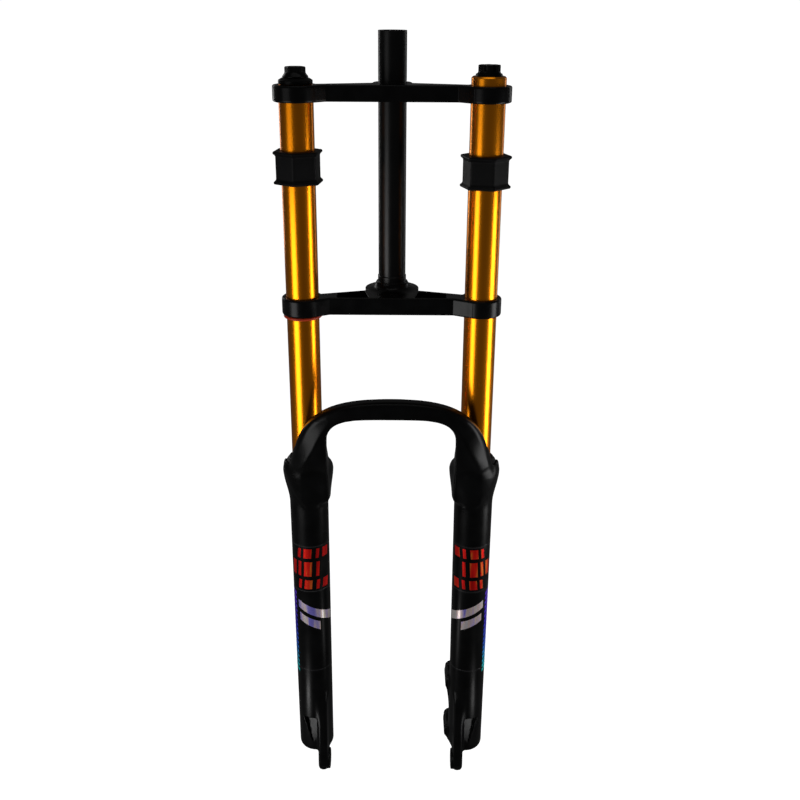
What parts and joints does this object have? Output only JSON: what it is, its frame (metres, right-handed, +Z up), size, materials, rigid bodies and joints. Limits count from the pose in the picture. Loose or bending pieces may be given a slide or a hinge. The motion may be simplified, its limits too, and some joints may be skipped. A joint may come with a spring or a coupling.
{
  "type": "suspension fork",
  "caption": "Double-crown telescopic suspension fork for a bicycle: steerer, two clamp crowns, gold stanchions and one-piece black lowers with brake posts and through-axle eyes.",
  "frame": {"origin": "on the steerer axis, level with the top of the lower crown's deck", "axes": "+Z up the steerer; -Y the front of the bicycle; +X the rider's left, the brake side"},
  "size_m": [0.242, 0.1063, 0.868],
  "materials": {
    "black_anodised": "satin black anodised aluminium",
    "cast_black": "satin black painted light-alloy casting",
    "gold_anodised": "polished gold-orange hard-anodised tube",
    "black_steerer": "satin black anodised tube",
    "bumper_rubber": "matt moulded rubber",
    "seal_rubber": "satin seal rubber",
    "ring_rubber": "red-orange rubber ring",
    "bolt_steel": "black oxide steel",
    "bright_steel": "ground steel",
    "bearing_bronze": "bronze",
    "foam": "oiled open-cell foam",
    "white_plastic": "machined plastic",
    "rebound_red": "red anodised"
  },
  "bodies": {
    "chassis": {"steerer_tube": "black_steerer", "lower_crown": "black_anodised", "upper_crown": "black_anodised", "stanchion_damper_side": "gold_anodised", "stanchion_air_side": "gold_anodised", "damper_top_cap": "black_anodised", "air_top_cap": "black_anodised", "air_valve": "bearing_bronze", "air_valve_cover": "black_anodised", "frame_bumper_right": "bumper_rubber", "frame_bumper_left": "bumper_rubber", "lower_crown_bolts": "bolt_steel", "upper_crown_bolts": "bolt_steel", "steerer_clamp_bolts": "bolt_steel", "damper_cartridge": "bright_steel", "damper_base_valve": "bearing_bronze", "damper_seal_head": "black_anodised", "air_seal_head": "black_anodised", "stanchion_circlips": "bright_steel", "topout_bumper": "seal_rubber"},
    "compression_adjuster": {"compression_knob": "black_anodised", "compression_needle": "bright_steel"},
    "travel_ring": {"travel_ring": "ring_rubber"},
    "lowers": {"lower_casting": "cast_black", "dust_wipers": "seal_rubber", "wiper_springs": "bright_steel", "foam_rings": "foam", "upper_bushings": "bearing_bronze", "lower_bushings": "bearing_bronze", "air_piston_rod": "bright_steel", "air_piston": "white_plastic", "air_piston_seal": "seal_rubber", "damper_rod": "bright_steel", "damper_piston": "bearing_bronze", "damper_glide_ring": "white_plastic", "bottom_bumpers": "seal_rubber", "foot_bolts": "bolt_steel", "crush_washers": "bearing_bronze"},
    "rebound_adjuster": {"rebound_knob": "rebound_red", "rebound_shaft": "bright_steel"}
  },
  "joints": [
    {"name": "fork_travel", "type": "slide", "parent": "chassis", "child": "lowers", "axis": [0, 0, 1], "range_m": [0, 0.14], "stiffness_N_per_m": 8000, "springref_m": -0.012},
    {"name": "compression_turn", "type": "hinge", "parent": "chassis", "child": "compression_adjuster", "pos_m": [-0.093, -0.034, 0.22], "axis": [0, 0, 1], "range_deg": [0, 270]},
    {"name": "travel_ring_slide", "type": "slide", "parent": "chassis", "child": "travel_ring", "axis": [0, 0, 1], "range_m": [-0.012, 0]},
    {"name": "rebound_turn", "type": "hinge", "parent": "lowers", "child": "rebound_adjuster", "pos_m": [-0.093, -0.034, -0.588], "axis": [0, 0, -1], "range_deg": [0, 330]}
  ]
}
